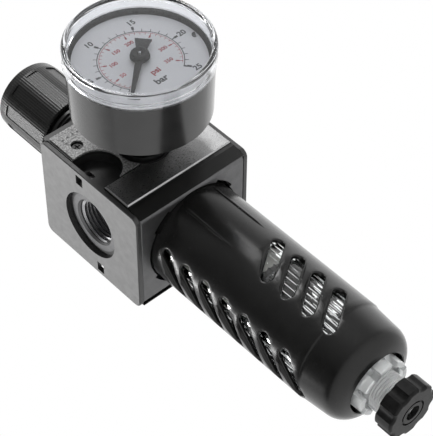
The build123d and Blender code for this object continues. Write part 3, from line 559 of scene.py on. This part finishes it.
def add_bonnet():
    """Spring housing with keyways for the spring nut inside and a thread on its neck."""
    low, top = (corner[2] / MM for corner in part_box("bonnet"))
    skirt, neck, dome, shoulder, neck_top = 18.2, 13.0, 10.9, 24.6, 38.5
    root, bore, keyway_low, keyway_top = neck - 0.75, 9.3, 33.6, 53.6

    def outline(angle):
        keyed = 10.15 if abs(cos(angle)) * bore < 1.45 else bore + 0.02
        return [
            (15.7, low), (skirt, low), (skirt, shoulder - 0.4), (skirt - 0.4, shoulder), (root, shoulder),
            (root, neck_top), (dome, neck_top), (dome, top - 0.4), (dome - 0.4, top), (3.06, top),
            (3.06, top - 2.7), (bore, top - 2.7), (bore, keyway_top), (keyed, keyway_top),
            (keyed, keyway_low), (bore, keyway_low), (bore, 20.5), (15.7, 19.5),
        ]

    look = LOOKS["black_plastic"]
    housing = add_piece("bonnet_housing", *spin(outline, 128), look, "port_block", "black_plastic")
    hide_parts("bonnet")
    pitch = 1.5
    ridge = screw_ridge(root - 0.02, neck, pitch, shoulder + 0.9, neck_top - 0.8)
    add_piece("bonnet_thread", *ridge, look, "port_block", "black_plastic")


def add_port_threads():
    """Thread ridges standing inwards from the two port bores."""
    bore, crest, pitch, inner, mouth = 8.36, 7.5, 1.337, 11.6, 21.3
    ridge, faces = screw_ridge(bore, crest, pitch, inner, mouth, axis="X")
    for side, word in ((-1, "inlet"), (1, "outlet")):
        points = [(side * x, y, side * z) for x, y, z in ridge]
        add_piece(f"{word}_thread", points, faces, LOOKS["bore"], "port_block", "block")


# ---- bowl, guard, trim ---------------------------------------------------------------------------

BOWL_R, BOWL_IN = 16.6, 14.7
GUARD_R, GUARD_IN = 18.75, 17.45
CASTLE_R, CASTLE_LOW, CASTLE_TOP = 10.25, -114.5, -109.0
NECK_R, NECK_LOW = 6.58, -123.2


def add_bowl():
    """Clear bowl: ribbed inside its lower half, castellated foot, threaded drain neck."""
    top, groove_top, groove_low, groove_r, shoulder = -11.0, -14.0, -16.4, BOWL_R - 1.1, -93.0
    ribs, rib_depth, rib_from = 44, 0.45, -66.0
    notches, notch_half, castle_in = 8, 1.3, 8.4
    pitch, depth, thread_low, thread_top = 1.0, 0.5, NECK_LOW + 0.5, -113.4
    hole, stem_bore, stem_top = 2.85, 4.2, -110.5
    thread_root, castle_neck = NECK_R - depth, CASTLE_R - 1.1
    bends = [radians(t) for t in range(9, 91, 9)]

    def inside(angle):
        wave = max(0.0, cos(ribs * angle)) * rib_depth
        crest = BOWL_IN - wave
        line = [(BOWL_IN, top), (BOWL_IN, rib_from), (crest, rib_from - 1.0), (crest, shoulder)]
        for index, turn in enumerate(bends):
            radius = hole + (BOWL_IN - hole) * cos(turn)
            rib = wave * (radius / BOWL_IN) * (1 - index / len(bends))
            line.append((radius - rib, shoulder - 13.0 * sin(turn)))
        return line + [(hole, stem_top), (stem_bore, stem_top), (stem_bore, NECK_LOW)]

    def neck(angle):
        line = [(thread_root, NECK_LOW), (thread_root + 0.25, NECK_LOW + 0.3)]
        z = thread_low
        while z < thread_top:
            phase = ((z / pitch - angle / (2 * pi)) % 1.0) * 2 - 1
            line.append((NECK_R - depth * min(1.0, 1.25 * abs(phase)), z))
            z += pitch / 8
        return line + [(thread_root, thread_top + 0.2), (NECK_R, -111.0)]

    def castle(angle):
        spot = angle % (2 * pi / notches) - pi / notches
        in_notch = abs(spot) * (CASTLE_R - 1.0) < notch_half
        floor = -109.9 if in_notch else -111.0
        foot = CASTLE_TOP - 0.6 if in_notch else CASTLE_LOW
        line = [(castle_in, floor), (castle_in, foot), (castle_in + 0.3, foot), (CASTLE_R - 0.3, foot)]
        return line + [(CASTLE_R, foot + 0.3), (CASTLE_R, CASTLE_TOP), (castle_neck, CASTLE_TOP + 1.0)]

    def outline(angle):
        outer = [
            (castle_neck + (BOWL_R - castle_neck) * sin(turn), shoulder - 15.0 * cos(turn)) for turn in bends
        ]
        outer += [(BOWL_R, groove_low), (groove_r, groove_low), (groove_r, groove_top)]
        return inside(angle) + neck(angle) + castle(angle) + outer + [(BOWL_R, groove_top), (BOWL_R, top)]

    bowl = add_piece("clear_bowl", *spin(outline, 352), LOOKS["clear"], "bowl_assembly", "clear", 32)
    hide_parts("bowl")


def window_outline(length, width, tilt, steps=14):
    """Points round an obround, centred on zero, tilted by tilt degrees."""
    straight, radius = (length - width) / 2, width / 2
    ends = arc((straight, 0), radius, -90, 90, steps) + arc((-straight, 0), radius, 90, 270, steps)
    turn = radians(tilt)
    return [(x * cos(turn) - y * sin(turn), x * sin(turn) + y * cos(turn)) for x, y in ends]


GUARD_TOP, GUARD_STEP, SHEET_LOW = -20.8, -94.3, -99.4
SEAM = radians(45.0)  # the guard's sheet is cut this far before the middle of its front
WINDOW_L, WINDOW_W, WINDOW_TILT = 18.4, 4.4, 31.8
WINDOW_FIRST, WINDOW_PITCH = -35.4, 9.3
RIM = 0.55
RIM_LOOPS = (0.0, 0.08, 0.2, 0.36, 0.55)
COLUMNS = 180


def guard_windows():
    """Each window as its face's angle in degrees and its height."""
    rows = []
    for face, first in ((0, 3), (1, 0), (2, 3), (3, 0)):
        for index in range(first, 7):
            rows.append((90.0 * face, WINDOW_FIRST - WINDOW_PITCH * index))
    return rows


def guard_radius(z):
    """Outer radius of the guard's wall at a height."""
    if z > GUARD_STEP:
        return GUARD_R
    if z > GUARD_STEP - 1.0:
        return GUARD_R - 0.35 * (GUARD_STEP - z)
    return GUARD_R - 0.35 - 0.0825 * (GUARD_STEP - 1.0 - z)


def wrapped(x, face_angle):
    """Arc length round the guard of a point at x across a face, from the seam at the front left."""
    return (asin(x / GUARD_R) + radians(face_angle) + SEAM) * GUARD_R


def near_window(u, z):
    """Whether a place on the unrolled sheet is inside a window or close to its rim."""
    straight, reach = (WINDOW_L - WINDOW_W) / 2, WINDOW_W / 2 + RIM + 0.25
    tilt = radians(-WINDOW_TILT)
    for face_angle, height in guard_windows():
        if abs(z - height) > 8 or abs(u - wrapped(0, face_angle)) > 12:
            continue
        x = GUARD_R * sin(u / GUARD_R - radians(face_angle) - SEAM)
        along = x * cos(tilt) - (z - height) * sin(tilt)
        across = x * sin(tilt) + (z - height) * cos(tilt)
        if hypot(max(abs(along) - straight, 0.0), across) < reach:
            return True
    return False


def window_rims():
    """Loops round every window on the unrolled sheet: places, how far each drops, edges, holes."""
    flat, drops, edges, holes = [], [], [], []
    for face_angle, height in guard_windows():
        for away in RIM_LOOPS:
            loop = window_outline(WINDOW_L + 2 * away, WINDOW_W + 2 * away, WINDOW_TILT)
            base, size = len(flat), len(loop)
            flat += [Vector((wrapped(x, face_angle), height + z)) for x, z in loop]
            drops += [RIM * (1 - sqrt(1 - (1 - away / RIM) ** 2))] * size
            edges += [(base + i, base + (i + 1) % size) for i in range(size)]
            if away == 0:
                holes.append(list(range(base, base + size)))
    return flat, drops, edges, holes


def add_grid(flat, drops):
    """Add a grid of places to the sheet; gives back where each column and row is, and the rows."""
    heights = [GUARD_TOP + (GUARD_STEP - GUARD_TOP) * row / 36 for row in range(37)]
    heights += [GUARD_STEP - 0.5, GUARD_STEP - 1.0, GUARD_STEP - 1.6, SHEET_LOW + 1.8, SHEET_LOW]
    grid = {}
    for row, z in enumerate(heights):
        for column in range(COLUMNS + 1):
            u = 2 * pi * GUARD_R * column / COLUMNS
            if not near_window(u, z):
                grid[(column, row)] = len(flat)
                flat.append(Vector((u, z)))
                drops.append(0.0)
    return grid, len(heights) - 1


def sheet_triangles(flat, edges, holes, grid, rows):
    """Triangles of the sheet outside its windows, with the seam's two sides made one."""
    found = delaunay_2d_cdt(flat, edges, [], 0, 1e-5)
    source = [origin[0] for origin in found[3]]
    hole_of = {index: number for number, hole in enumerate(holes) for index in hole}
    closed = {grid[(COLUMNS, row)]: grid[(0, row)] for row in range(rows + 1)}
    kept = []
    for triangle in found[2]:
        corners = [source[i] for i in triangle]
        owners = {hole_of.get(corner, -1) for corner in corners}
        if len(owners) > 1 or -1 in owners:
            kept.append(tuple(closed.get(corner, corner) for corner in corners))
    return kept


def add_guard():
    """Slotted bowl guard: one sheet with rounded window rims, closed by a drawn-in shoulder."""
    flat, drops, edges, holes = window_rims()
    grid, rows = add_grid(flat, drops)
    kept = sheet_triangles(flat, edges, holes, grid, rows)
    count = len(flat)
    points = []
    for inward in (False, True):
        for place, drop in zip(flat, drops):
            angle = place.x / GUARD_R - SEAM - pi / 2
            wall = guard_radius(place.y)
            radius = wall - (GUARD_R - GUARD_IN) if inward else wall - drop
            points.append((radius * cos(angle), radius * sin(angle), place.y))
    faces = kept + [tuple(i + count for i in reversed(triangle)) for triangle in kept]
    for hole in holes:
        for here, after in zip(hole, hole[1:] + hole[:1]):
            faces.append((here, after, after + count, here + count))
    shoulder = guard_shoulder()
    base, size = len(points), len(shoulder)
    for column in range(COLUMNS):
        angle = 2 * pi * column / COLUMNS - SEAM - pi / 2
        points += [(r * cos(angle), r * sin(angle), z) for r, z in shoulder]
    for column in range(COLUMNS):
        after = (column + 1) % COLUMNS
        edge, edge_after = grid[(column, 0)], grid[(after, 0)]
        faces.append((edge, edge_after, edge_after + count, edge + count))
        near, far = base + column * size, base + after * size
        top, top_after = grid[(column, rows)], grid[(after, rows)]
        faces.append((top, top_after, far, near))
        faces.append((near + size - 1, far + size - 1, top_after + count, top + count))
        for index in range(size - 1):
            faces.append((near + index, near + index + 1, far + index + 1, far + index))
    guard = add_piece("guard", points, faces, LOOKS["guard"], "bowl_assembly", "guard", 40)
    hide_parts("bowl_guard")


def guard_shoulder():
    """Outline from the outer wall down round the shoulder and back up inside."""
    foot, mouth, bend, neck, wall = -111.5, 11.6, 6.9, -105.0, GUARD_R - GUARD_IN
    middle, level = 17.6 - bend, neck + 0.4

    def bent(radius, turns):
        return [(middle + radius * cos(radians(t)), level - radius * sin(radians(t))) for t in turns]

    outer = [(guard_radius(z), z) for z in (-100.5, -102.0, -103.5, neck)]
    lip = [(mouth + 0.4, foot), (mouth, foot + 0.2), (mouth, foot + wall)]
    inner = bent(bend - wall, range(74, 0, -6)) + [(guard_radius(-101.0) - wall, -101.0)]
    return outer + bent(bend, range(8, 80, 6)) + lip + inner


def guard_rib(middle):
    """One rib on the guard's wall: wide and blunt at the top, narrow at its lower end."""
    top, low, rows, across = -25.6, -51.0, 24, 8
    wide_half, narrow_half, proud, sunk = 0.9, 0.35, 0.4, 0.15
    wide = across + 1
    points, faces = [], []
    for row in range(rows + 1):
        share = row / rows
        half = wide_half + (narrow_half - wide_half) * share
        tall = proud * min(1.0, 6 * share + 0.1, 6 * (1 - share) + 0.1)
        for step in range(wide):
            side = 2 * step / across - 1
            radius = GUARD_R - sunk + (tall + sunk) * sqrt(max(0.0, 1 - side**4))
            angle = middle + side * half / GUARD_R
            points.append((radius * cos(angle), radius * sin(angle), top + (low - top) * share))
    for row in range(rows):
        first = row * wide
        for here in range(first, first + across):
            faces.append((here, here + 1, here + wide + 1, here + wide))
        faces.append((first, first + wide, first + wide + across, first + across))
    faces.append(tuple(range(wide)))
    faces.append(tuple(rows * wide + i for i in range(wide)))
    return points, faces


def lug_outline(angle):
    """Section of a bayonet lug; the same at every angle."""
    inner, outer, low, top, bevel = GUARD_R - 0.4, 20.0, -22.65, GUARD_TOP, 0.15
    tip = [(outer - bevel, low), (outer, low + bevel), (outer, top - bevel), (outer - bevel, top)]
    return [(inner, low)] + tip + [(inner, top)]


def add_guard_details():
    """Tapered ribs beside the thumb areas, and the bayonet lugs."""
    parts = [guard_rib(radians(face + lean) - pi / 2) for face in (0, 180) for lean in (-19.0, 24.5)]
    parts += [spin(lug_outline, 16, "Z", 90 * quarter - 10, 20) for quarter in range(4)]
    add_piece("guard_ribs", *joined(parts), LOOKS["guard"], "bowl_assembly", "guard", 50)


def add_trim_dots():
    """Small dark dots round both upper corners of the front and rear trim plates."""
    spots = ((-19.3, 19.0), (-17.1, 19.2), (-14.8, 19.4), (-12.9, 19.3), (-19.3, 17.1))
    face, radius, proud = 22.8, 0.42, 0.05
    for side, word in ((-1, "front"), (1, "rear")):

        def on_trim(x, z, height):
            return (x, side * (face + height), z)

        centres = [(x * hand, z) for x, z in spots for hand in (1, -1)]
        parts = [prism(arc(centre, radius, 0, 342, 19), on_trim, proud) for centre in centres]
        add_piece(f"{word}_trim_dots", *joined(parts), LOOKS["ink"], "port_block", "black_plastic", 60)


add_dial_print()
add_pointer_hub()
add_lens()
add_bonnet()
add_port_threads()
add_bowl()
add_guard()
add_guard_details()
add_trim_dots()

# ---- camera, light, floor --------------------------------------------------------------------

CAMERA_AT = Vector((-0.25175, -0.41986, -0.31364))
CAMERA_AIM = Vector((-0.05132, -0.09762, -0.09201))
CAMERA_UP = Vector((0.48907, -0.67996, 0.54633))
FOCAL_PX = 1684.9
IMAGE_PX = 436
SENSOR_MM = 36.0
BACKDROP = 1.25  # light of the backdrop behind the object
BACK_LOW, BACK_HIGH = 0.03, 0.8  # light of the near side, below and above


def looking(place, aim, up):
    """A matrix that stands at place and looks at aim, with up towards the top of the view."""
    back = (place - aim).normalized()
    right = up.cross(back).normalized()
    top = back.cross(right)
    turn = Matrix((right, top, back)).transposed().to_4x4()
    return Matrix.Translation(place) @ turn


def add_camera():
    data = bpy.data.cameras.new("camera")
    data.sensor_width = SENSOR_MM
    data.lens = FOCAL_PX / IMAGE_PX * SENSOR_MM
    data.shift_x = 0.0064
    data.shift_y = -0.0031
    data.clip_start = 0.01
    camera = bpy.data.objects.new("camera", data)
    camera.matrix_world = looking(CAMERA_AT, CAMERA_AIM, CAMERA_UP)
    bpy.context.scene.collection.objects.link(camera)
    bpy.context.scene.camera = camera


def add_softbox(name, place, size, power, aim=(0, 0, -0.02)):
    data = bpy.data.lights.new(name, "AREA")
    data.shape = "RECTANGLE"
    data.size, data.size_y = size
    data.energy = power
    lamp = bpy.data.objects.new(name, data)
    lamp.matrix_world = looking(Vector(place), Vector(aim), Vector((0, 0, 1)))
    lamp.visible_camera = False
    bpy.context.scene.collection.objects.link(lamp)


def add_world():
    """White to the camera; for light and reflections, a bright backdrop and a dim near side."""
    world = bpy.data.worlds.new("studio")
    world.use_nodes = True
    tree = world.node_tree
    tree.nodes.clear()

    def made(kind, links, **settings):
        node = tree.nodes.new(kind)
        for key, value in settings.items():
            setattr(node, key, value)
        for key, value in links.items():
            if isinstance(value, bpy.types.NodeSocket):
                tree.links.new(value, node.inputs[key])
            else:
                node.inputs[key].default_value = value
        return node.outputs

    place = made("ShaderNodeTexCoord", {})["Generated"]
    shares = []
    away = (CAMERA_AIM - CAMERA_AT).normalized()
    up = CAMERA_UP.normalized()
    for direction, start, stop, low_value, high_value in (
        (away, 0.0, 0.4, 0.0, BACKDROP),
        (up, -0.1, 0.95, BACK_LOW, BACK_HIGH),
    ):
        along = made("ShaderNodeVectorMath", {0: place, 1: direction}, operation="DOT_PRODUCT")["Value"]
        ramp = {"Value": along, "From Min": start, "From Max": stop}
        ramp.update({"To Min": low_value, "To Max": high_value})
        shares.append(made("ShaderNodeMapRange", ramp)[0])
    total = made("ShaderNodeMath", {0: shares[0], 1: shares[1]}, operation="ADD")[0]
    seen = made("ShaderNodeLightPath", {})["Is Camera Ray"]
    strength = made("ShaderNodeMix", {0: seen, 2: total, 3: 1.0})[0]
    background = made("ShaderNodeBackground", {"Color": grey(1.0), "Strength": strength})
    output = tree.nodes.new("ShaderNodeOutputWorld")
    tree.links.new(background[0], output.inputs["Surface"])
    bpy.context.scene.world = world


def add_floor():
    size, drop = 6.0, -0.55
    mesh = bpy.data.meshes.new("floor")
    corners = [(-size, -size, drop), (size, -size, drop), (size, size, drop), (-size, size, drop)]
    mesh.from_pydata(corners, [], [(0, 1, 2, 3)])
    floor = bpy.data.objects.new("floor", mesh)
    shader = moulded("floor_paint", (0.86, 0.86, 0.86), 0.7, 2 * MM, 0.02 * MM, 300 * MM, 0.01)
    mesh.materials.append(shader.material)
    bpy.context.scene.collection.objects.link(floor)


add_camera()
add_world()
add_floor()
add_softbox("key", (0.2, -0.9, 0.62), (0.45, 0.3), 6.0)
add_softbox("side_strip", (-0.62, 0.36, 0.47), (0.1, 0.5), 4.5)
bpy.context.scene.view_settings.view_transform = "Standard"
